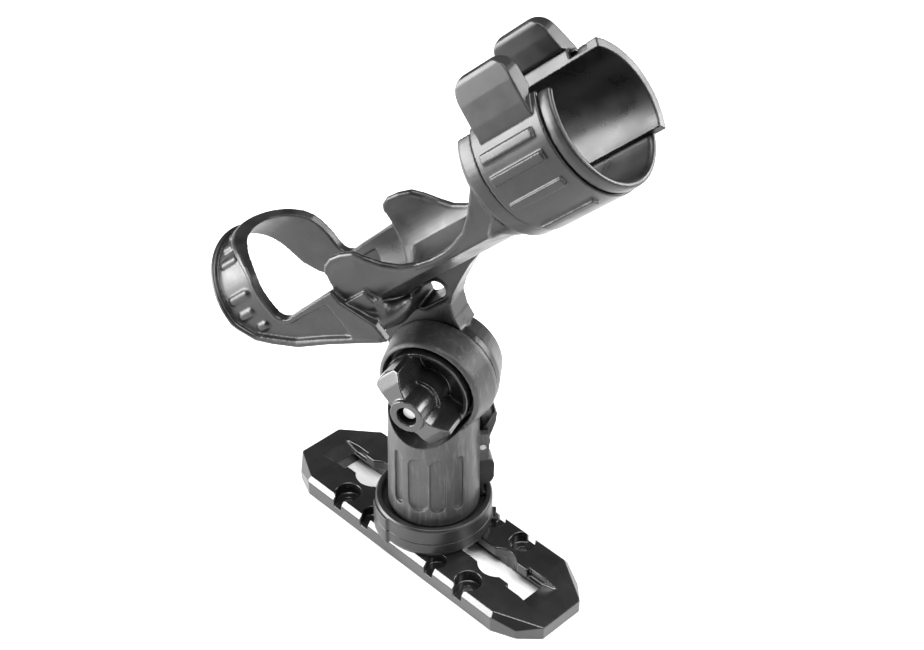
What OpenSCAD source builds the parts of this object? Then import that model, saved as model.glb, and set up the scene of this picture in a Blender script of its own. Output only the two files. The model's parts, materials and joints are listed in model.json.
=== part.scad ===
// Fishing rod holder on a slotted track plate.
// Frame: Z up, origin at the centre of the plate's underside, X along the plate.

/* [Plate] */
// Length of the track plate
plate_len = 165; // [160:1:180]
// Width of the track plate
plate_w = 50.6; // [50:0.2:54]
// Thickness of the plate along its middle
plate_t = 10.75; // [10.5:0.25:11.5]
// Spacing of the four screw holes along the plate
hole_dx = 82; // [80:1:84]
// Spacing of the four screw holes across the plate
hole_dy = 36; // [35:1:37]
// Diameter of a screw hole
hole_d = 5.2; // [4.5:0.1:6]
// Width of the slot at the top of the plate
slot_w = 12; // [11:0.5:13]

/* [Base] */
// Outer radius of the round base
base_r = 27.5; // [27:0.5:28]
// Radius of the recess in the top of the base
base_recess_r = 24.3; // [24.2:0.1:24.6]
// Height of the base's lower half
base_lower_h = 8; // [7.8:0.1:8.4]
// Height of the base's upper half
base_upper_h = 8.6; // [8.4:0.1:9]
// Diameter of the spigot that the post turns on
spigot_d = 24; // [22:0.5:25]

/* [Post] */
// Radius of the post
post_r = 21; // [20.8:0.1:21.4]
// Height of the tilt axis above the plate's underside
pivot_z = 93; // [92:1:96]
// Radius of the round head at the tilt joint
head_r = 27; // [26.5:0.5:27.5]
// Radius of the recess for the knob
recess_r = 22.3; // [21.8:0.1:22.6]
// How far the head's front stands in front of the post's axis
head_front = 6.6; // [6:0.2:9]
// Where the head meets the cradle, behind the post's axis
joint_face = 8.7; // [8.5:0.1:9]
// How far the upper assembly is turned on the base
swivel = 20; // [-180:5:180]

/* [Cradle] */
// Tilt of the rod above level
tilt = 41.5; // [0:0.5:60]
// Height of the rod's axis above the tilt axis
rod_h = 68; // [67:0.5:70]
// Inside radius of the trough
trough_ri = 25.5; // [25:0.1:26]
// Outside radius of the trough
trough_ro = 28.2; // [28:0.1:29]
// Width of the hoop at the back, along the rod
hoop_w = 25.5; // [24:0.5:27]
// How far behind the tilt axis the hoop's back edge is
hoop_back = 46.5; // [45:0.5:48]
// Height of the centre of the hoop's arch above the tilt axis
arch_h = 74; // [73:0.5:78]

/* [Collar] */
// Inside radius of the bore behind the collar
bore_r = 24; // [23.6:0.1:24]
// Inside radius of the fixed ring
ring_ri = 26.6; // [26.5:0.1:26.8]
// Outside radius of the fixed ring under the sleeve
ring_ro = 28.6; // [28.5:0.1:28.8]
// Outside radius of the sleeve
sleeve_ro = 30.6; // [30.4:0.1:31]
// Where the sleeve starts along the rod
sleeve_u0 = 114; // [113:0.5:115]
// Where the sleeve ends along the rod
sleeve_u1 = 148.5; // [147:0.5:150]
// Half angle of the ring's opening
open_half = 40; // [38:1:42]

/* [Hidden] */
$fn = 96;
eps = 0.01;
// gap between two pieces that turn or slide on each other
gap = 0.25;

// ---- placing -----------------------------------------------------------------
// Frame of the upper assembly: X below the rod, -Y towards the knob, Z up.
module on_post() { rotate([0, 0, swivel]) children(); }
// Frame of the cradle: origin on the tilt axis, X along the rod, Z away from the axis.
module on_cradle() { on_post() translate([0, 0, pivot_z]) rotate([0, -tilt, 0]) children(); }
// A cylinder along -Y, from the distance y0 to y1 in front of the axis.
module knob_cyl(r, y0, y1) {
    translate([0, -y0, 0]) rotate([90, 0, 0]) cylinder(r = r, h = y1 - y0);
}
// A cylinder around the rod from u0 to u1.
module rod_cyl(r, u0, u1, h = rod_h) {
    translate([u0, 0, h]) rotate([0, 90, 0]) cylinder(r = r, h = u1 - u0, $fn = 120);
}
// Part of a ring around the rod between two angles, measured from the top of the rod.
module rod_sector(ri, ro, u0, u1, a0, a1) {
    translate([u0, 0, rod_h]) rotate([0, 90, 0]) rotate([0, 0, 180 + a0])
        rotate_extrude(angle = a1 - a0, $fn = 120)
            translate([ri, 0]) square([ro - ri, u1 - u0]);
}
// A side view, given as an outline in X and Z, extruded across the rod.
module side(points, y0 = -60, y1 = 60) {
    translate([0, y1, 0]) rotate([90, 0, 0]) linear_extrude(y1 - y0) polygon(points);
}
function arc(cx, cy, r, a0, a1, n = 8) =
    [for (i = [0:n]) let (a = a0 + (a1 - a0) * i / n) [cx + r * cos(a), cy + r * sin(a)]];

// ---- plate -------------------------------------------------------------------
end_x = plate_len / 2;
half_w = plate_w / 2;
top_half = half_w - 2.1;
flat_x = end_x - 20.2;
bevel_z = 7.9;
end_z = 7.2;
slot_half = 64;
head_slot_w = 18;
head_slot_h = 5.5;
entry_x = 42;
entry_r = 9.2;

module plate_outline() {
    k = [[flat_x, half_w], [end_x - 8.9, half_w - 4.7], [end_x, 12]];
    polygon(concat(k, [for (p = [k[2], k[1], k[0]]) [p.x, -p.y]],
        [for (p = k) [-p.x, -p.y]], [for (p = [k[2], k[1], k[0]]) [-p.x, p.y]]));
}
// Round pocket in the top of the plate, open to the plate's side.
module side_pocket(x, y, r, floor_z) {
    translate([x, y, floor_z]) cylinder(r = r, h = plate_t);
    translate([x - 2.6, y, floor_z]) cube([5.2, half_w, plate_t]);
}
module track_plate() color([0.05, 0.05, 0.055]) difference() {
    linear_extrude(plate_t) plate_outline();
    for (sy = [0, 1]) mirror([0, sy, 0]) {
        // sloping long edge
        rotate([90, 0, 90]) translate([0, 0, -end_x - 1]) linear_extrude(plate_len + 2)
            polygon([[half_w + eps, bevel_z], [half_w + 3, bevel_z], [half_w + 3, plate_t + 1],
                [top_half - 0.74, plate_t + 1], [top_half, plate_t]]);
        for (sx = [0, 1]) mirror([sx, 0, 0]) {
            // sloping corner
            translate([flat_x, top_half, plate_t]) rotate([0, 52.9, 54.2])
                translate([-40, -40, 0]) cube([80, 80, 30]);
            translate([hole_dx / 2, hole_dy / 2, -1]) cylinder(d = hole_d, h = 20);
            side_pocket(hole_dx / 2, hole_dy / 2, 6.2, 4.6);
            side_pocket(22, hole_dy / 2 + 1.4, 4.6, 5.4);
        }
    }
    for (sx = [0, 1]) mirror([sx, 0, 0]) {
        // sloping end
        translate([0, half_w + 1, 0]) rotate([90, 0, 0]) linear_extrude(plate_w + 2)
            polygon([[flat_x, plate_t], [end_x + 1, end_z - 0.18], [end_x + 1, plate_t + 1],
                [flat_x, plate_t + 1]]);
        // sloping landing at the end of the slot
        translate([slot_half - 9, -8, 0]) rotate([90, 0, 0]) mirror([0, 0, 1])
            linear_extrude(16) polygon([[0, 6], [8, 6], [19.5, 9.9], [19.5, 14], [0, 14]]);
        // round entry for the bolt's head
        translate([entry_x, 0, -1]) cylinder(r = entry_r, h = 20);
    }
    // slot: narrow at the top, wide for the bolt's head below
    translate([-slot_half, -slot_w / 2, -1]) cube([2 * slot_half, slot_w, 20]);
    translate([-slot_half, -head_slot_w / 2, -1]) cube([2 * slot_half, head_slot_w, 1 + head_slot_h]);
}

// ---- base --------------------------------------------------------------------
base_z0 = plate_t + 0.1;
base_seam_z = base_z0 + base_lower_h;
base_top_z = base_seam_z + base_upper_h;
recess_z = base_top_z - 3.8;
nut_z = base_seam_z - 4.4;
hook_z = recess_z + 1.1;
screw_circle = 18.5;
screw_angles = [30, 150, 270];

module base_lug(z0, h) {
    intersection() {
        translate([0, 0, z0]) cylinder(r = base_r + 1.2, h = h);
        rotate([0, 0, 250]) translate([base_r - 1.5, -7.6, z0]) cube([10, 15.2, h]);
    }
}
module base_lower() color([0.09, 0.09, 0.1]) difference() {
    union() {
        translate([0, 0, base_z0]) cylinder(r1 = base_r - 1.2, r2 = base_r, h = 2.4);
        translate([0, 0, base_z0 + 2.4]) cylinder(r = base_r, h = base_lower_h - 2.4);
        base_lug(base_z0, base_lower_h);
        rotate([0, 0, 45]) translate([base_r - 3, -4, base_z0]) cube([5, 8, 3]);
    }
    translate([0, 0, base_z0 - 1]) cylinder(d = 8.4, h = 20);
    translate([0, 0, nut_z]) cylinder(r = 10.5, h = 10);
    for (a = screw_angles) rotate([0, 0, a]) translate([screw_circle, 0, base_z0 - 1]) {
        cylinder(d = 3.2, h = 20);
        cylinder(d = 6.4, h = 4);
    }
}
module base_upper() color([0.09, 0.09, 0.1]) difference() {
    union() {
        translate([0, 0, base_seam_z]) rotate_extrude() polygon([[0, 0], [base_r, 0],
            [base_r, base_upper_h - 1], [base_r - 0.8, base_upper_h],
            [base_recess_r + 0.5, base_upper_h], [base_recess_r, base_upper_h - 0.5],
            [base_recess_r, hook_z + 2 - base_seam_z], [base_recess_r + 1.2, hook_z + 2 - base_seam_z],
            [base_recess_r + 1.2, hook_z - 0.4 - base_seam_z], [base_recess_r, hook_z - 0.4 - base_seam_z],
            [base_recess_r, recess_z - base_seam_z], [0, recess_z - base_seam_z]]);
        base_lug(base_seam_z, base_upper_h - 1.4);
    }
    translate([0, 0, base_seam_z - 1]) cylinder(d = spigot_d + 0.1, h = 20);
    for (a = screw_angles) rotate([0, 0, a]) translate([screw_circle, 0, base_seam_z - 1])
        cylinder(d = 2.8, h = 4.2);
}
module base_screws() color([0.6, 0.6, 0.62]) for (a = screw_angles)
    rotate([0, 0, a]) translate([screw_circle, 0, base_z0 + 0.6]) {
        cylinder(d = 5.8, h = 2.4);
        translate([0, 0, 2.3]) cylinder(d = 2.8, h = 8.2);
    }
// The head is wider than the slot, and fits the round entry.
module track_bolt() color([0.66, 0.66, 0.68]) {
    translate([-4.5, -7.7, head_slot_h - 3.6]) cube([9, 15.4, 3.5]);
    translate([0, 0, head_slot_h - 0.2]) cylinder(d = 8, h = base_seam_z + 0.5 - head_slot_h);
}
module track_nut() color([0.66, 0.66, 0.68]) translate([0, 0, nut_z]) difference() {
    cylinder(d = 16, h = 4, $fn = 6);
    translate([0, 0, -1]) cylinder(d = 8, h = 8);
}
module swivel_washer() color([0.8, 0.8, 0.78]) translate([0, 0, recess_z]) difference() {
    cylinder(r = 19, h = 0.8);
    translate([0, 0, -1]) cylinder(d = spigot_d + 0.6, h = 3);
}

// ---- post --------------------------------------------------------------------
post_z0 = recess_z + 0.9;
barrel_top_z = pivot_z - 14;
spigot_top_z = post_z0 + 18;
cut_z = pivot_z - head_r - 0.2;
lever_dir = 35;
lever_r = post_r + 0.5;
lever_pin_z = 58;
lever_w = 8.4;

// Shallow upright groove with round ends, at an angle from the knob's side.
module grip_groove(a, w, depth = 1.4) {
    rotate([0, 0, a]) translate([0, -post_r + depth, 0]) rotate([90, 0, 0]) linear_extrude(4) {
        translate([-w / 2, 33 + w / 2]) square([w, 31 - w]);
        for (z = [33 + w / 2, 64 - w / 2]) translate([0, z]) circle(d = w, $fn = 32);
    }
}
module post_solid() {
    translate([0, 0, post_z0]) cylinder(r1 = post_r + 0.5, r2 = post_r - 0.2, h = barrel_top_z - post_z0);
    // head on the tilt axis, with a rounded front rim
    translate([0, joint_face, pivot_z]) rotate([90, 0, 0]) rotate_extrude()
        polygon(concat([[0, 0], [head_r, 0], [head_r, 2]],
            arc(head_r - 5.2, joint_face + head_front - 3, 3, 20, 90, 5), [[0, joint_face + head_front]]));
    rotate([0, 0, lever_dir]) translate([15, -8, lever_pin_z - 8]) cube([9.4, 16, 15.8]);
}
module post_body() color([0.2, 0.2, 0.205]) on_post() difference() {
    post_solid();
    // the side towards the cradle is flat around the tilt joint
    translate([-60, joint_face, cut_z]) cube([120, 60, 80]);
    // recess for the knob, open through the front of the barrel
    translate([0, 0, pivot_z]) {
        knob_cyl(recess_r, -2, 60);
        knob_cyl(4.2, -20, 5);
        knob_cyl(17, -joint_face - 1, -joint_face + 2.5);
    }
    // socket for the spigot and its screw
    translate([0, 0, post_z0 - 1]) cylinder(d = 30, h = spigot_top_z - post_z0 + 1);
    translate([0, 0, post_z0]) cylinder(d = 5, h = 30);
    // window for the lever, and the hole for its pin
    rotate([0, 0, lever_dir]) {
        translate([16.4, -lever_w / 2 - 0.4, post_z0 - 1]) cube([20, lever_w + 0.8, 60]);
        translate([lever_r, 10, lever_pin_z]) rotate([90, 0, 0]) cylinder(d = 3, h = 20, $fn = 32);
    }
    grip_groove(-24, 5);
    grip_groove(6, 9.5);
    grip_groove(31, 7);
    grip_groove(58, 5);
}
module post_spigot() color([0.12, 0.12, 0.125]) difference() {
    union() {
        translate([0, 0, base_seam_z + 1.4]) cylinder(d = spigot_d, h = post_z0 - base_seam_z - 1.3);
        translate([0, 0, post_z0]) cylinder(d = 29.9, h = spigot_top_z - post_z0);
    }
    translate([0, 0, base_seam_z]) cylinder(d = 5.2, h = 40);
    translate([0, 0, base_seam_z]) cylinder(d = 15, h = 9);
}
module spigot_screw() color([0.6, 0.6, 0.62]) translate([0, 0, base_seam_z + 5.6]) {
    cylinder(d = 13, h = 3.4);
    translate([0, 0, 3.3]) cylinder(d = 5, h = 20);
}
// Frame of the lever: X outwards, Z up, origin on its pin.
module lever_frame() {
    on_post() rotate([0, 0, lever_dir]) translate([lever_r, 0, lever_pin_z]) rotate([90, 0, 0]) children();
}
hook_y = hook_z - lever_pin_z;
module lever_outline() {
    circle(r = 4.2, $fn = 48);
    // lower arm with the hook that holds the post in the base
    polygon([[-2.5, 0], [-2.5, hook_y], [base_recess_r + 0.7 - lever_r, hook_y],
        [base_recess_r + 0.7 - lever_r, hook_y + 1.4], [1, hook_y + 2], [1, 0]]);
    // finger pad
    translate([1.2, -14.5]) circle(r = 5, $fn = 48);
    translate([1.2, -21.5]) circle(r = 5, $fn = 48);
    translate([-2.5, -21.5]) square([8.7, 7]);
    // upper arm
    polygon([[-2.5, -3], [2, -3], [6.4, 11], [7, 16.4], [5.8, 18], [4.6, 16.4], [2.2, 11], [-2.5, 4]]);
}
module release_lever() color([0.03, 0.03, 0.035]) lever_frame() difference() {
    translate([0, 0, -lever_w / 2]) linear_extrude(lever_w) lever_outline();
    cylinder(d = 3.1, h = 20, center = true, $fn = 32);
}
module lever_pin() color([0.7, 0.7, 0.72]) lever_frame() cylinder(d = 3, h = 15.6, center = true, $fn = 32);
module lever_spring() color([0.75, 0.75, 0.77]) lever_frame() translate([-5.1, -12, -3]) cube([0.5, 14, 6]);

// ---- tilt joint ----------------------------------------------------------------
tooth_n = 24;
plate_h = 2.5;
// Toothed ring; its teeth are cut into the face at height z.
module ratchet(z, turn) {
    difference() {
        cylinder(r = 16.9, h = plate_h);
        translate([0, 0, -1]) cylinder(r = 4.2, h = 8);
        for (i = [0:tooth_n - 1]) rotate([0, 0, turn + i * 360 / tooth_n])
            translate([9, -0.7, z - 1]) cube([9, 1.4, 2]);
    }
}
module head_ratchet() color([0.1, 0.1, 0.1]) on_post() translate([0, joint_face, pivot_z])
    rotate([90, 0, 0]) ratchet(0, 0);
module cradle_ratchet() color([0.1, 0.1, 0.1]) on_cradle() translate([0, joint_face + 0.3 + plate_h, 0])
    rotate([90, 0, 0]) ratchet(plate_h, 7.5);

module knob_wing() {
    intersection() {
        translate([0, -1, 0]) rotate([90, 0, 0]) linear_extrude(30)
            polygon([[3, -4.8], [10, -5], [17.2, -7.6], [19, -6], [19.9, 0], [19, 6], [17.2, 7.6],
                [10, 5], [3, 4.8]]);
        translate([0, 0, -12]) linear_extrude(24)
            polygon([[0, -3], [21, -3], [21, -17], [19, -19.6], [14, -22.6], [8, -25], [0, -25.6]]);
    }
}
module knob() color([0.02, 0.02, 0.02]) on_post() translate([0, 0, pivot_z]) difference() {
    union() {
        difference() {
            knob_cyl(20.2, 1, 8);
            knob_cyl(18.2, 3, 9);
        }
        knob_cyl(9.4, 2.9, 13);
        knob_cyl(8, 12.9, 27);
        rotate([0, 44, 0]) for (s = [0, 1]) rotate([0, 180 * s, 0]) knob_wing();
    }
    knob_cyl(3.8, 0, 40);
    knob_cyl(4.7, 19, 40);
}
module knob_insert() color([0.72, 0.6, 0.3]) on_post() translate([0, 0, pivot_z]) difference() {
    knob_cyl(3.8, 1.2, 19);
    knob_cyl(3.06, 0, 30);
}
module knob_washer() color([0.72, 0.72, 0.74]) on_post() translate([0, 0, pivot_z]) difference() {
    knob_cyl(9, -1.9, 0.9);
    knob_cyl(3.2, -4, 4);
}
disc_back = joint_face + 0.35 + 17.9;
module pivot_bolt() color([0.72, 0.72, 0.74]) on_cradle() {
    knob_cyl(3, -disc_back + 2, 24);
    knob_cyl(7, -disc_back + 0.6, -disc_back + 4.1);
}
module bolt_cap() color([0.04, 0.04, 0.04]) on_cradle() difference() {
    knob_cyl(9, -disc_back - 0.6, -disc_back + 4.1);
    knob_cyl(7.02, -disc_back + 0.6, 0);
}

// ---- cradle --------------------------------------------------------------------
hoop_front = hoop_back - hoop_w;
web_ri = 26.4;
web_ro = 28.6;
rim_r = 30.8;
wall_u = 14.5;
floor_u = -2;
waist_u = 84;
waist_r = 26.4;
lip_u = 155;
flange_u = 107;
// the trough's floor is raised between these two places
raised_u = 22.4;
raised_end = 97;
raised_d = 21.9;

// Arch over straight walls.
module arch_block(r) {
    rod_cyl(r, -60, 40, arch_h);
    translate([-60, -r, 20]) cube([100, 2 * r, arch_h - 20]);
}
// Side outline of the trough, from its back edge to the ring.
trough_outline = concat([[wall_u, 30], [wall_u, 66], [wall_u + 1, 71.5]],
    arc(wall_u + 7.5, 70, 6, 165, 95, 4),
    [[28, 76], [34, 74.4], [38, 70.4], [43, 65], [49, 60.2], [56, 57.4], [64, 56], [72, 56],
     [79, 57.2], [88, 60], [97, 66], [105, 74], [flange_u + 2, 80], [flange_u + 2, 30]]);
// Side outline of the arms and of the hoop behind the trough.
rear_outline = concat([[22.6, 35], [22.6, 44], [wall_u + 0.1, 60], [wall_u + 0.1, 65.5], [-8, 64.5]],
    arc(-hoop_front + 5.5, 69.5, 5.5, 270, 180, 5),
    [[-hoop_front, 87], [-hoop_front - 1, 91.5], [-hoop_front - 4, 97], [-hoop_front - 8, 101.4],
     [-hoop_front - 12.5, 105.4], [-hoop_front - 12.5, 130], [-hoop_back, 130], [-hoop_back, 77], [-45, 70.6],
     [-40, 62.8], [-32.6, 58], [-21.4, 51.7], [-6, 46.4], [8.6, 40.8]]);
// The part of it that is sunk between the two rims.
channel_outline = concat([[8, 61.5], [-9, 62]], arc(-hoop_front + 5, 69, 7.4, 270, 180, 5),
    [[-hoop_front - 2.4, 86.5], [-hoop_front - 3.3, 90.8], [-hoop_front - 6, 95.6],
     [-hoop_front - 9.8, 99.8], [-hoop_front - 14.8, 104], [-hoop_front - 14.8, 130],
     [-hoop_back + 2.2, 130], [-hoop_back + 2.2, 77.5], [-43, 71.6],
     [-38.5, 64.8], [-31.6, 60.3], [-20.8, 54], [-5.4, 48.8], [8, 43.6]]);
neck_outline = concat([[23, 12], [24.2, 19], [27.4, 25.6], [33, 29.6], [41, 33.6], [50, 37.6], [60, 40.6],
    [74, 43.6], [90, 48], [90, 56], [-20, 52], [-10, 34], [-17, 22]], arc(0, 0, 22, 125, 35, 8));
// Outlines of the swelling where the arms and the trough run into the neck: from the side, and across.
root_outline = [[-2, 47], [2, 40], [6, 34.6], [10, 31.4], [13, 31.6], [14.4, 34.5], [15.4, 38], [19, 41],
    [25, 45], [27, 52], [27, 58], [-2, 58]];
root_section = [[-23.5, 29], [-10, 29], [0, 30.4], [9, 33.4], [17, 38], [23, 43.6], [27, 50], [28.4, 58],
    [28.4, 62], [-28.4, 62], [-28.4, 58], [-27, 50], [-23.5, 44]];
// Where the trough is slimmer below, behind the ring.
waist_outline = [[waist_u, 20], [waist_u + 3, 44], [waist_u + 11, 54], [waist_u + 20, 60],
    [flange_u + 3, 62], [flange_u + 3, 20]];

module arms_and_hoop() difference() {
    intersection() {
        arch_block(rim_r);
        side(rear_outline);
    }
    // channel between the rims
    intersection() {
        difference() {
            arch_block(rim_r + 5);
            arch_block(web_ro);
        }
        side(channel_outline);
    }
    // inside of the hoop
    rod_cyl(web_ri, -60, 40, arch_h);
    rod_cyl(web_ri, -60, 40);
    translate([-60, -web_ri, rod_h]) cube([100, 2 * web_ri, arch_h - rod_h]);
    // open underneath, apart from the floor of the trough
    difference() {
        translate([-60, -web_ri - 0.4, 20]) cube([100, 2 * web_ri + 0.8, rod_h - 28]);
        rod_cyl(web_ro, floor_u, 40);
    }
    side([[-hoop_back - 1, 30], [floor_u, 30], [floor_u, 56], [-hoop_back - 1, 76]], -web_ri, web_ri);
}
// Everything above a floor of three flats, each at the distance d below the rod's axis.
module above_floor(d, u0, u1) {
    translate([u0, 0, rod_h]) rotate([90, 0, 90]) linear_extrude(u1 - u0)
        polygon([[-30, (13.14 - d) / 0.899], [-0.231 * d, -d], [0.231 * d, -d],
            [30, (13.14 - d) / 0.899], [30, 40], [-30, 40]]);
}
// Space for the rod: round behind, with a raised floor further on.
module trough_space(grow = 0) {
    rod_cyl(trough_ri + grow, wall_u - 1, raised_u - 1);
    intersection() {
        rod_cyl(trough_ri + grow, wall_u - 1, waist_u);
        above_floor(raised_d + grow, raised_u - 1.1, waist_u + 1);
    }
    intersection() {
        rod_cyl(bore_r + 0.6 + grow, waist_u - 1, raised_end + 2);
        above_floor(raised_d + grow, waist_u - 2, raised_end + 3);
    }
    rod_cyl(bore_r + 0.6 + grow, raised_end + 2, flange_u + 5);
}
module trough() difference() {
    intersection() {
        rod_cyl(trough_ro, wall_u, flange_u + 2);
        side(trough_outline);
        union() {
            above_floor(29, wall_u - 1, raised_u);
            above_floor(raised_d + 2.5, raised_u - 0.1, raised_end);
            above_floor(29, raised_end - 0.1, flange_u + 3);
        }
    }
    trough_space();
    difference() {
        side(waist_outline);
        rod_cyl(waist_r, waist_u - 1, flange_u + 5);
    }
}
module cradle_neck() difference() {
    side(neck_outline, joint_face + 0.35, 23.5);
    rod_cyl(trough_ro - 1, -30, wall_u);
    trough_space(1.3);
    side(concat(arc(16, 34.5, 4.2, 90, 270, 8), arc(27, 34.5, 4.2, -90, 90, 8)));
}
module neck_root() difference() {
    intersection() {
        side(root_outline);
        rotate([90, 0, 90]) translate([0, 0, -10]) linear_extrude(50)
            polygon([for (p = root_section) [-p.x, p.y]]);
    }
    rod_cyl(web_ri + 1, -10, 50);
}
module pivot_disc() {
    translate([0, joint_face + 0.35, 0]) rotate([-90, 0, 0]) rotate_extrude()
        polygon(concat([[0, 0], [26.6, 0], [26.4, 4]], arc(19.5, 14.4, 3.5, 40, 90, 4), [[0, 17.9]]));
}
module fixed_ring() difference() {
    translate([0, 0, rod_h]) rotate([0, 90, 0]) rotate_extrude($fn = 120) polygon(concat(
        [[bore_r, flange_u - 4], [waist_r, flange_u - 4], [29.7, flange_u - 0.5], [30, flange_u],
         [30, sleeve_u0 - 0.3], [ring_ro, sleeve_u0 - 0.3], [ring_ro, sleeve_u1 + 0.3],
         [29.9, sleeve_u1 + 0.6], [30.2, lip_u - 3]],
        arc(ring_ri + 2, lip_u - 2, 2, 50, 180, 6), [[ring_ri, sleeve_u0 - 0.2], [bore_r, sleeve_u0 - 0.2]]));
    translate([90, 0, rod_h]) rotate([0, 90, 0]) rotate([0, 0, 180 - open_half])
        rotate_extrude(angle = 2 * open_half) square([60, 80]);
}
module cradle_frame() color([0.1, 0.1, 0.105]) on_cradle() difference() {
    union() {
        arms_and_hoop();
        trough();
        cradle_neck();
        neck_root();
        pivot_disc();
        fixed_ring();
    }
    knob_cyl(17, -joint_face - 0.3 - plate_h, -joint_face + 1);
    knob_cyl(3.2, -60, 0);
    knob_cyl(9.05, -60, -disc_back + 4.1);
}

// ---- collar --------------------------------------------------------------------
sleeve_ri = ring_ro + gap;
gate_ro = ring_ri - gap;
gate_ri = gate_ro - 1.75;
gate_u1 = 161;
gate_a0 = 222;
gate_a1 = 326;
sleeve_a1 = 322;
tab_u0 = sleeve_u0 + 5;
tab_u1 = sleeve_u1 - 2.5;
tab_h = 42.4;
tab_top = rod_h + tab_h;
pad_angles = [100, 180, 250];

// Finger tab beside the opening, with round corners.
module tab() intersection() {
    translate([tab_u0, 0, rod_h]) rotate([90, 0, 90]) linear_extrude(tab_u1 - tab_u0)
        polygon(concat([[22, 14], [16, 22], [14.2, 34]], arc(17.3, tab_h - 3, 3, 175, 20, 5),
            [[22.4, 33], [24.5, 24], [25.2, 18.5]]));
    side(concat([[tab_u1, rod_h], [tab_u1, tab_top - 7]], arc(tab_u1 - 7, tab_top - 7, 7, 0, 90, 6),
        arc(tab_u0 + 7, tab_top - 7, 7, 90, 180, 6), [[tab_u0, rod_h]]));
}
module grip_rib(a) {
    rod_sector(sleeve_ro - 1, sleeve_ro + 1.3, sleeve_u0 + 3, sleeve_u1 - 5, a - 3.4, a + 3.4);
}
module collar_sleeve() color([0.1, 0.1, 0.105]) on_cradle() difference() {
    union() {
        rod_sector(sleeve_ri, sleeve_ro, sleeve_u0, sleeve_u1, 360 - sleeve_a1, sleeve_a1);
        for (s = [0, 1]) mirror([0, s, 0]) {
            tab();
            for (a = [65, 82, 105, 137]) grip_rib(a);
        }
    }
    rod_cyl(sleeve_ri, sleeve_u0 - 1, sleeve_u1 + 1);
    // the tabs stay above the opening between the sleeve's two ends
    rod_sector(10, sleeve_ro + 0.05, sleeve_u0 - 1, sleeve_u1 + 1, sleeve_a1 - 360, 360 - sleeve_a1);
    for (a = pad_angles) rod_sector(sleeve_ri - 1, sleeve_ri + 0.8, sleeve_u0 + 4, sleeve_u0 + 10, a, a + 12);
}
module collar_gate() color([0.06, 0.06, 0.065]) on_cradle() {
    rod_sector(gate_ri, gate_ro, sleeve_u0 + 0.2, gate_u1, gate_a0, gate_a1);
    rod_sector(gate_ri, 28.5, lip_u + 0.6, gate_u1, gate_a0, gate_a1);
    // bridge through the opening to the sleeve
    rod_sector(gate_ri, sleeve_ro, sleeve_u0 + 2, sleeve_u1 - 2, sleeve_a1, gate_a1);
}
module collar_pads() color([0.6, 0.6, 0.6]) on_cradle() for (a = pad_angles)
    rod_sector(ring_ro + 0.05, sleeve_ri + 0.8, sleeve_u0 + 4.05, sleeve_u0 + 9.95, a + 0.1, a + 11.9);

track_plate();
base_lower();
base_upper();
base_screws();
track_bolt();
track_nut();
swivel_washer();
post_body();
post_spigot();
spigot_screw();
release_lever();
lever_pin();
lever_spring();
head_ratchet();
cradle_ratchet();
knob();
knob_insert();
knob_washer();
pivot_bolt();
cradle_frame();
bolt_cap();
collar_sleeve();
collar_gate();
collar_pads();
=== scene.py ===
"""Looks of the rod holder: moulded plastic shells over the fixed CAD frame, a pale floor and soft light."""
import json
import math

import bpy
from mathutils import Matrix, Vector


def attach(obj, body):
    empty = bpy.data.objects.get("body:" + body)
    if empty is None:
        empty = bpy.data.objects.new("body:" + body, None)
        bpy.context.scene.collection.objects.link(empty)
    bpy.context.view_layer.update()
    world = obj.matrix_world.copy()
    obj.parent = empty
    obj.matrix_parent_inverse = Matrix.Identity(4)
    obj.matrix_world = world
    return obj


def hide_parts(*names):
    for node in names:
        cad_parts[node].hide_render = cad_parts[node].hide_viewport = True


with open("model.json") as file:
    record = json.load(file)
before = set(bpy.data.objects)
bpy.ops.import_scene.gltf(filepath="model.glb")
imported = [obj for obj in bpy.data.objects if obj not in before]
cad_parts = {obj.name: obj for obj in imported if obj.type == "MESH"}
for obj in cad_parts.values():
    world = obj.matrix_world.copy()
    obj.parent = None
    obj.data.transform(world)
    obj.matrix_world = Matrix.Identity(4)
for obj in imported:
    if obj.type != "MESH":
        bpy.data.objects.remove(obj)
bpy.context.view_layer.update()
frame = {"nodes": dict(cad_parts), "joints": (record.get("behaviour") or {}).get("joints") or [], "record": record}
MM = 0.001


# ---- places taken from the frame --------------------------------------------------
def joint(name):
    for j in frame["joints"]:
        if j["name"] == name:
            return j
    raise KeyError(name)


pivot = Vector(joint("cradle_tilt")["pos_m"])
toward_knob = Vector(joint("cradle_tilt")["axis"]).normalized()
along_rod = Vector(joint("collar_turn")["axis"]).normalized()
off_rod = toward_knob.cross(along_rod).normalized()
rod_h = (Vector(joint("collar_turn")["pos_m"]) - pivot).dot(off_rod) / MM


def in_cradle(u, s, h):
    """A point given in mm: along the rod, towards the knob's side, and away from the tilt axis."""
    return pivot + (along_rod * u + toward_knob * s + off_rod * h) * MM


def from_cradle(point):
    """The reverse of in_cradle."""
    d = (point - pivot) / MM
    return d.dot(along_rod), d.dot(toward_knob), d.dot(off_rod)


def around_rod(u, r, angle):
    """A point at a radius and an angle in degrees from the top of the rod, towards the knob's side."""
    a = math.radians(angle)
    return in_cradle(u, r * math.sin(a), rod_h + r * math.cos(a))


def direction(u, s, h):
    return (in_cradle(u, s, h) - in_cradle(0, 0, 0)).normalized()


# ---- materials ----------------------------------------------------------------------
def socket(node, *names):
    for name in names:
        if name in node.inputs:
            return node.inputs[name]
    raise KeyError(names)


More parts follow.
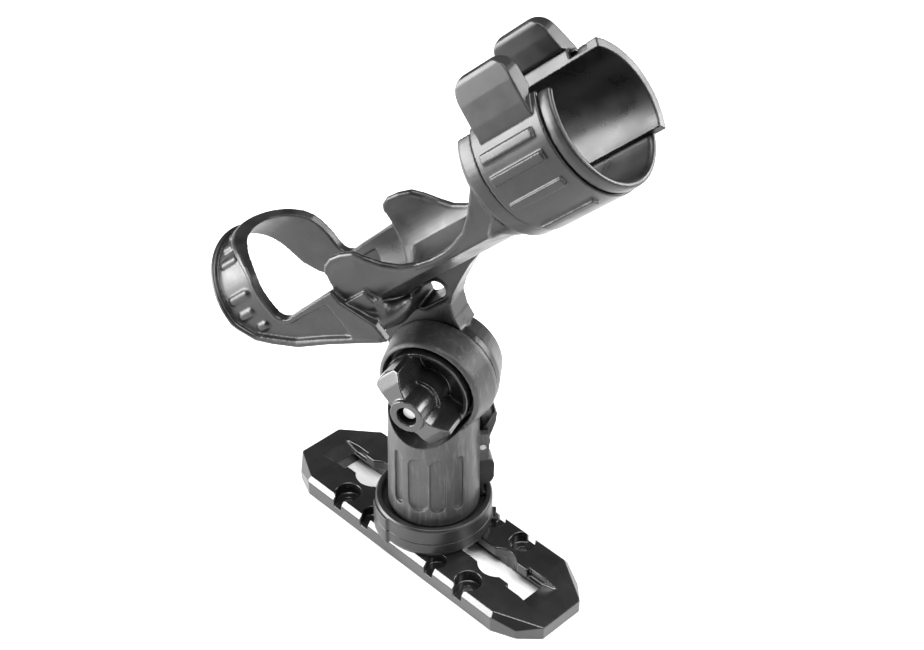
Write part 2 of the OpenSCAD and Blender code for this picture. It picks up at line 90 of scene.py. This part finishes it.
def plastic(name, colour, rough, grain_mm=0.5, grain=0.25, patch_mm=9.0, patch=0.18, specular=0.5,
            streak=0.0, coat=0.0, wavy=0.3):
    """Moulded plastic: fine grain, slow changes in colour, roughness and height, and streaks if asked for."""
    mat = bpy.data.materials.new(name)
    mat.use_nodes = True
    nodes, links = mat.node_tree.nodes, mat.node_tree.links
    bsdf = nodes["Principled BSDF"]
    coord = nodes.new("ShaderNodeTexCoord").outputs["Object"]

    def noise(size_mm, detail=3.0, stretch=None, rough_detail=0.5):
        tex = nodes.new("ShaderNodeTexNoise")
        tex.inputs["Scale"].default_value = 1.0 / (size_mm * MM)
        tex.inputs["Detail"].default_value = detail
        tex.inputs["Roughness"].default_value = rough_detail
        source = coord
        if stretch:
            mapping = nodes.new("ShaderNodeMapping")
            mapping.inputs["Scale"].default_value = stretch
            links.new(coord, mapping.inputs["Vector"])
            source = mapping.outputs["Vector"]
        links.new(source, tex.inputs["Vector"])
        return tex.outputs["Fac"]

    def ramp(value, low, high, out_low, out_high):
        rng = nodes.new("ShaderNodeMapRange")
        for key, v in (("From Min", low), ("From Max", high), ("To Min", out_low), ("To Max", out_high)):
            rng.inputs[key].default_value = v
        links.new(value, rng.inputs["Value"])
        return rng.outputs["Result"]

    slow = noise(patch_mm, 4.0)
    fine = noise(grain_mm, 2.0)
    shade = nodes.new("ShaderNodeMix")
    shade.data_type = "RGBA"
    shade.inputs["A"].default_value = [c * (1 - patch) for c in colour] + [1]
    shade.inputs["B"].default_value = [min(1, c * (1 + patch) + 0.004) for c in colour] + [1]
    links.new(ramp(slow, 0.35, 0.65, 0, 1), shade.inputs["Factor"])
    shown = shade.outputs["Result"]
    if streak:
        flow = noise(2.4, 6.0, stretch=(1.0, 1.0, 0.16), rough_detail=0.65)
        light = nodes.new("ShaderNodeMix")
        light.data_type = "RGBA"
        light.inputs["B"].default_value = [min(1, c + streak) for c in colour] + [1]
        links.new(ramp(flow, 0.52, 0.72, 0, 1), light.inputs["Factor"])
        links.new(shown, light.inputs["A"])
        shown = light.outputs["Result"]
    links.new(shown, bsdf.inputs["Base Color"])
    links.new(ramp(slow, 0.3, 0.7, rough - 0.3 * patch, rough + 0.35 * patch), bsdf.inputs["Roughness"])
    socket(bsdf, "Specular IOR Level", "Specular").default_value = specular
    if coat:
        socket(bsdf, "Coat Weight", "Clearcoat").default_value = coat
        socket(bsdf, "Coat Roughness", "Clearcoat Roughness").default_value = 0.12
    wave = nodes.new("ShaderNodeBump")
    wave.inputs["Strength"].default_value = wavy
    wave.inputs["Distance"].default_value = 0.12 * MM
    links.new(slow, wave.inputs["Height"])
    bump = nodes.new("ShaderNodeBump")
    bump.inputs["Strength"].default_value = grain
    bump.inputs["Distance"].default_value = 0.06 * MM
    links.new(fine, bump.inputs["Height"])
    links.new(wave.outputs["Normal"], bump.inputs["Normal"])
    links.new(bump.outputs["Normal"], bsdf.inputs["Normal"])
    return mat


def metal(name, colour, rough):
    """Metal with a fine grain and faint patches."""
    mat = plastic(name, colour, rough, grain_mm=0.3, grain=0.15, patch_mm=3.0, patch=0.08)
    mat.node_tree.nodes["Principled BSDF"].inputs["Metallic"].default_value = 1.0
    return mat


MATERIALS = {
    "plate_plastic": plastic("plate_plastic", (0.007, 0.007, 0.0075), 0.24, 0.4, 0.5, 12.0, 0.05,
                             specular=0.55, coat=0.3, wavy=0.03),
    "base_plastic": plastic("base_plastic", (0.012, 0.012, 0.013), 0.34, 0.5, 0.28, 8.0, specular=0.42),
    "post_plastic": plastic("post_plastic", (0.030, 0.030, 0.031), 0.42, 0.6, 0.55, 7.0, 0.12, streak=0.05),
    "cradle_plastic": plastic("cradle_plastic", (0.009, 0.009, 0.0095), 0.33, 0.6, 0.40, 9.0, 0.22,
                              specular=0.40, wavy=0.2),
    "collar_plastic": plastic("collar_plastic", (0.012, 0.012, 0.0125), 0.33, 0.5, 0.28, 9.0, specular=0.40,
                              wavy=0.2),
    "gate_plastic": plastic("gate_plastic", (0.007, 0.007, 0.0075), 0.30, 0.5, 0.25, 9.0, specular=0.36,
                            wavy=0.2),
    "knob_plastic": plastic("knob_plastic", (0.008, 0.008, 0.0085), 0.25, 0.6, 0.15, 8.0, 0.06, specular=0.55,
                            coat=0.25, wavy=0.08),
    "lever_plastic": plastic("lever_plastic", (0.010, 0.010, 0.0105), 0.34, 0.5, 0.25, 8.0),
    "ratchet_plastic": plastic("ratchet_plastic", (0.020, 0.020, 0.021), 0.45),
    "steel": metal("steel", (0.42, 0.42, 0.43), 0.38),
    "brass": metal("brass", (0.70, 0.52, 0.26), 0.32),
    "acetal": plastic("acetal", (0.72, 0.72, 0.69), 0.42),
    "pad_rubber": plastic("pad_rubber", (0.030, 0.030, 0.030), 0.70),
}
SLOTS = {part["node"]: part["material_slot"] for part in frame["record"]["subparts"]}


def finish_of(obj, slot):
    obj.data.materials.clear()
    obj.data.materials.append(MATERIALS[slot])


# ---- mesh tools -----------------------------------------------------------------------
def new_object(name, mesh):
    obj = bpy.data.objects.new(name, mesh)
    bpy.context.scene.collection.objects.link(obj)
    return obj


def applied(obj):
    """Replaces the object's mesh by its mesh with the modifiers applied."""
    graph = bpy.context.evaluated_depsgraph_get()
    mesh = bpy.data.meshes.new_from_object(obj.evaluated_get(graph))
    obj.modifiers.clear()
    obj.data = mesh


def smooth_shading(obj):
    obj.data.polygons.foreach_set("use_smooth", [True] * len(obj.data.polygons))


def ring_faces(rings, n, closed=False):
    """Faces between rings of n points, which close up into a loop or else get a flat cap at each end."""
    faces = []
    for i in range(rings if closed else rings - 1):
        j = (i + 1) % rings
        faces += [(i * n + k, i * n + (k + 1) % n, j * n + (k + 1) % n, j * n + k) for k in range(n)]
    if not closed:
        faces += [tuple(range(n))[::-1], tuple(range((rings - 1) * n, rings * n))]
    return faces


def pill(start, end, up, wide, tall, n=20, rings=5):
    """A closed bar with round ends: wide across, tall along the direction up."""
    axis = (end - start).normalized()
    across = axis.cross(up).normalized()
    up = across.cross(axis)
    quarter = [math.pi / 2 * i / rings for i in range(rings + 1)]
    stations = [(start - axis * wide * MM * math.cos(a), math.sin(a)) for a in quarter[1:]]
    stations += [(end + axis * wide * MM * math.sin(a), math.cos(a)) for a in quarter[:-1]]
    verts = []
    for centre, size in stations:
        for k in range(n):
            t = 2 * math.pi * k / n
            verts.append(centre + (across * wide * math.cos(t) + up * tall * math.sin(t)) * size * MM)
    return verts, ring_faces(len(stations), n)


def tube(path, radius, closed=False, n=14):
    """A closed round bead along a path, with its cross-section square to the path."""
    verts, count = [], len(path)
    for i, here in enumerate(path):
        before = path[i - 1] if i or closed else here
        after = path[(i + 1) % count] if i < count - 1 or closed else here
        axis = (after - before).normalized()
        across = axis.cross(toward_knob if abs(axis.dot(toward_knob)) < 0.9 else off_rod).normalized()
        up = axis.cross(across)
        for k in range(n):
            t = 2 * math.pi * k / n
            verts.append(here + (across * math.cos(t) + up * math.sin(t)) * radius * MM)
    return verts, ring_faces(count, n, closed)


def lump(centre, radii, rings=12, n=24):
    """A closed egg shape: its radii are along the rod, towards the knob's side, and off the rod."""
    verts = []
    for i in range(1, rings):
        a = math.pi * i / rings
        for k in range(n):
            t = 2 * math.pi * k / n
            verts.append(centre + (along_rod * radii[0] * math.cos(a) + toward_knob * radii[1] * math.sin(a)
                         * math.cos(t) + off_rod * radii[2] * math.sin(a) * math.sin(t)) * MM)
    return verts, ring_faces(rings - 1, n)


def joined(mesh, extras):
    """A new mesh with closed shapes added to it."""
    verts = [v.co.copy() for v in mesh.vertices]
    faces = [tuple(f.vertices) for f in mesh.polygons]
    for more_verts, more_faces in extras:
        start = len(verts)
        verts += more_verts
        faces += [tuple(i + start for i in f) for f in more_faces]
    new = bpy.data.meshes.new(mesh.name + "_joined")
    new.from_pydata(verts, [], faces)
    new.update()
    return new


FLOW_ROUNDS = 60
VOXEL_SCALE = 1.0


def moulded(node, body, voxel=0.5, rounds=4, extras=(), flowing=None):
    """A copy of a CAD node with its edges rounded off as a mould leaves them, and small shapes added.

    Where flowing(point) is true the surface is smoothed much further, so that one shape runs into the
    next. The voxel size is in mm, and rounds counts the passes of smoothing."""
    obj = new_object(node + "_moulded", joined(frame["nodes"][node].data, extras))
    remesh = obj.modifiers.new("skin", "REMESH")
    remesh.mode = "VOXEL"
    remesh.voxel_size = voxel * VOXEL_SCALE * MM
    soften = obj.modifiers.new("soften", "SMOOTH")
    soften.factor = 0.5
    soften.iterations = rounds
    applied(obj)
    if flowing:
        group = obj.vertex_groups.new(name="flow")
        group.add([v.index for v in obj.data.vertices if flowing(v.co)], 1.0, "REPLACE")
        blend = obj.modifiers.new("blend", "SMOOTH")
        blend.factor = 0.6
        blend.iterations = FLOW_ROUNDS
        blend.vertex_group = "flow"
        applied(obj)
    smooth_shading(obj)
    finish_of(obj, SLOTS[node])
    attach(obj, body)
    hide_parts(node)
    return obj


# ---- camera, floor and light ----------------------------------------------------------
# in metres, degrees and, for the lens and the sensor, mm
CAMERA = {"place": (0.39853, -0.38194, 0.54179), "azimuth": 44.94, "elevation": 37.08, "roll": 0.60,
          "lens": 62.4, "sensor": 36}
FLOOR_HALF, FLOOR_DROP = 4.0, 0.0002
AIM = (-0.02, 0.0, 0.12)
# each lamp: its place, its size and its power in watts
LAMPS = {
    "overhead": ((0.15, -0.1, 1.3), (0.9, 0.9), 27),
    "left": ((-0.8, -0.85, 0.34), (0.9, 0.66), 38),
    "right": ((0.8, 0.25, 0.7), (0.35, 0.5), 6),
    "back": ((0.45, 0.95, 0.42), (0.6, 0.4), 11),
}


def make_camera():
    data = bpy.data.cameras.new("camera")
    data.lens = CAMERA["lens"]
    data.sensor_width = CAMERA["sensor"]
    data.clip_start, data.clip_end = 0.01, 20
    cam = new_object("camera", data)
    turn = Matrix.Rotation(math.radians(CAMERA["azimuth"]), 4, "Z")
    tip = Matrix.Rotation(math.radians(90 - CAMERA["elevation"]), 4, "X")
    roll = Matrix.Rotation(math.radians(CAMERA["roll"]), 4, "Z")
    cam.matrix_world = Matrix.Translation(CAMERA["place"]) @ turn @ tip @ roll
    bpy.context.scene.camera = cam


def make_floor():
    half, low = FLOOR_HALF, -FLOOR_DROP
    mesh = bpy.data.meshes.new("floor")
    mesh.from_pydata([(-half, -half, low), (half, -half, low), (half, half, low), (-half, half, low)], [],
                     [(0, 1, 2, 3)])
    floor = new_object("floor", mesh)
    mat = bpy.data.materials.new("floor_paper")
    mat.use_nodes = True
    bsdf = mat.node_tree.nodes["Principled BSDF"]
    bsdf.inputs["Base Color"].default_value = (0.93, 0.93, 0.93, 1)
    bsdf.inputs["Roughness"].default_value = 0.9
    mesh.materials.append(mat)


def softbox(name, place, size, power):
    """A rectangular area light turned towards the middle of the object."""
    data = bpy.data.lights.new(name, "AREA")
    data.shape = "RECTANGLE"
    data.size, data.size_y = size
    data.energy = power
    lamp = new_object(name, data)
    lamp.location = place
    lamp.rotation_euler = (Vector(AIM) - Vector(place)).to_track_quat("-Z", "Y").to_euler()


def make_light():
    world = bpy.data.worlds.new("world")
    world.use_nodes = True
    back = world.node_tree.nodes["Background"]
    back.inputs["Color"].default_value = (1, 1, 1, 1)
    back.inputs["Strength"].default_value = 0.14
    bpy.context.scene.world = world
    for name, (place, size, power) in LAMPS.items():
        softbox(name, place, size, power)
    bpy.context.scene.view_settings.view_transform = "Standard"


# ---- shapes added to the shells ------------------------------------------------------------
# all in mm: u along the rod, s towards the knob's side, h above the tilt axis
HOOP_FLOOR, ARCH_H = 28.6, 74.0
RIM_R, REAR_U, ARCH_STEPS = 29.9, -45.1, 48
REAR_RIM, FRONT_RIM = 1.5, 1.0
RIB_HALF, RIB_TALL, RIB_SUNK = 2.2, 1.6, 0.3
# each hoop rib: the length of web from the arch's springing up to it, and the u of its two ends
HOOP_RIBS = [(-8, -36.5, -28.6), (0, -41.4, -31), (8, -41.4, -27.6),
             (25, -41.4, -29), (33, -41.4, -33), (41, -41.4, -36)]
# the lower edge of an arm, from the neck back to the hoop: u and h
ARM_EDGE = [(20.5, 36.9), (8.6, 41.6), (-6, 47.1), (-21.4, 52.0), (-32.4, 58.4), (-39.4, 63.4), (-44.0, 71.2)]
# the middle of the hoop's front rim: h and u
FRONT_LINE = [(76, -22.2), (87, -22.3), (91.2, -23.2), (96.4, -26.2), (100.6, -30.2), (104.4, -34.8)]
# the upper edge of the trough's side: u and h
TROUGH_EDGE = [(16, 72.0), (18, 74.6), (22, 76.0), (28, 75.4), (34, 73.6), (38, 69.6), (43, 64.2), (49, 59.4),
               (56, 56.6), (64, 55.2), (72, 55.2), (79, 56.4), (88, 59.2), (97, 65.2), (105, 73.2)]
TROUGH_MID_R, TROUGH_BEAD = 26.9, 1.6
# the swelling: the middle of each egg shape and its three radii
ROOT_EGGS = [((18.5, 12, 43), (10.5, 12.5, 7)), ((9, 20, 44), (13, 9.5, 8)),
             ((13, 23, 47), (11, 6.5, 10)), ((10, -14, 43), (12, 10, 7))]
ROD_SPACE_R = 27.0
# the parts that flow: limits of u, s and h
FLOOR_BOX = ((18, 100), (-20.5, 20.5), (41.5, 56))
ROOT_BOX = ((-8, 32), (-4, 27), (28, 52))
SLOT_U0, SLOT_U1, SLOT_H, SLOT_R, SLOT_FACE, SLOT_BEAD, SLOT_STEPS = 16, 27, 34.5, 4.9, -9.1, 0.8, 10
SLEEVE_RIBS, SLEEVE_R, SLEEVE_SUNK = [65, 82, 105, 137], 30.6, 0.2
SLEEVE_U0, SLEEVE_U1, SLEEVE_HALF, SLEEVE_TALL = 119, 141.5, 2.1, 1.4

def hoop_ribs():
    """Bars along the rod on the outside of the hoop, alike on both sides."""
    shapes = []
    for side in (1, -1):
        for length, u0, u1 in HOOP_RIBS:
            a = max(0, length) / HOOP_FLOOR
            r = HOOP_FLOOR - RIB_SUNK
            s, h = r * math.cos(a), ARCH_H + min(0, length) + r * math.sin(a)
            up = direction(0, side * math.cos(a), math.sin(a))
            shapes.append(pill(in_cradle(u0 + RIB_HALF, side * s, h), in_cradle(u1 - RIB_HALF, side * s, h),
                               up, RIB_HALF, RIB_TALL))
    return shapes


def trough_beads():
    """A rounded bead along the upper edge of each side of the trough."""
    shapes = []
    for side in (1, -1):
        path = []
        for u, h in TROUGH_EDGE:
            d = h - rod_h
            path.append(in_cradle(u, side * math.sqrt(TROUGH_MID_R ** 2 - d * d), h))
        shapes.append(tube(path, TROUGH_BEAD))
    return shapes


def front_edge(h):
    """How far along the rod the middle of the hoop's front rim lies, at a height above the tilt axis."""
    for (h0, u0), (h1, u1) in zip(FRONT_LINE, FRONT_LINE[1:]):
        if h <= h1:
            return u0 + (u1 - u0) * max(0, h - h0) / (h1 - h0)
    return FRONT_LINE[-1][1]


def root_lumps():
    """The swelling under the trough, kept out of the space for the rod."""
    shapes = []
    for centre, radii in ROOT_EGGS:
        verts, faces = lump(in_cradle(*centre), radii)
        kept = []
        for v in verts:
            u, side, h = from_cradle(v)
            drop = h - rod_h
            out = max(1.0, ROD_SPACE_R / math.hypot(side, drop))
            kept.append(in_cradle(u, side * out, drop * out + rod_h))
        shapes.append((kept, faces))
    return shapes


def in_flow(point):
    """True on the trough's floor and on the swelling below it, away from rims and the slot."""
    place = from_cradle(point)
    for box in (FLOOR_BOX, ROOT_BOX):
        if all(low < value < high for value, (low, high) in zip(place, box)):
            return True
    return False


def hoop_rims():
    """Rolled rims along the hoop's two edges; the rear one runs on along the arms' lower edges."""
    turns = [math.pi * i / ARCH_STEPS for i in range(ARCH_STEPS + 1)]
    arch = [(RIM_R * math.cos(a), ARCH_H + RIM_R * math.sin(a)) for a in turns]
    rear = [in_cradle(u, RIM_R, h) for u, h in ARM_EDGE] + [in_cradle(REAR_U, s, h) for s, h in arch]
    rear += [in_cradle(u, -RIM_R, h) for u, h in reversed(ARM_EDGE)]
    front = [in_cradle(front_edge(h), s, h) for s, h in arch]
    return [tube(rear, REAR_RIM), tube(front, FRONT_RIM)]


def slot_rim():
    """A thin bead round the neck's slot, on its face towards the knob."""
    turns = [math.pi * i / SLOT_STEPS for i in range(SLOT_STEPS + 1)]
    points = [(SLOT_U0 - SLOT_R * math.sin(a), SLOT_H + SLOT_R * math.cos(a)) for a in turns]
    points += [(SLOT_U1 + SLOT_R * math.sin(a), SLOT_H - SLOT_R * math.cos(a)) for a in turns]
    return [tube([in_cradle(u, SLOT_FACE, h) for u, h in points], SLOT_BEAD, closed=True)]


def sleeve_ribs():
    """Bars along the rod round the collar's sleeve, alike on both sides."""
    shapes = []
    for side in (1, -1):
        for angle in SLEEVE_RIBS:
            turn, r = side * angle, SLEEVE_R - SLEEVE_SUNK
            a = math.radians(turn)
            up = direction(0, math.sin(a), math.cos(a))
            shapes.append(pill(around_rod(SLEEVE_U0, r, turn), around_rod(SLEEVE_U1, r, turn),
                               up, SLEEVE_HALF, SLEEVE_TALL))
    return shapes


# ---- the holder -------------------------------------------------------------------------
def main():
    make_camera()
    make_floor()
    make_light()
    for name, obj in frame["nodes"].items():
        finish_of(obj, SLOTS[name])
    bodies = frame["record"]["behaviour"]["bodies"]
    home = {node: body for body, nodes in bodies.items() for node in nodes}
    moulded("cradle_frame", home["cradle_frame"], 0.5, 6,
            hoop_ribs() + hoop_rims() + root_lumps() + trough_beads() + slot_rim(), in_flow)
    moulded("collar_sleeve", home["collar_sleeve"], 0.4, 4, sleeve_ribs())
    moulded("track_plate", home["track_plate"], 0.35, 2)
    moulded("post_body", home["post_body"], 0.35, 4)
    for name in ("base_lower", "base_upper", "knob", "release_lever", "collar_gate", "bolt_cap"):
        moulded(name, home[name], 0.35, 3)


main()
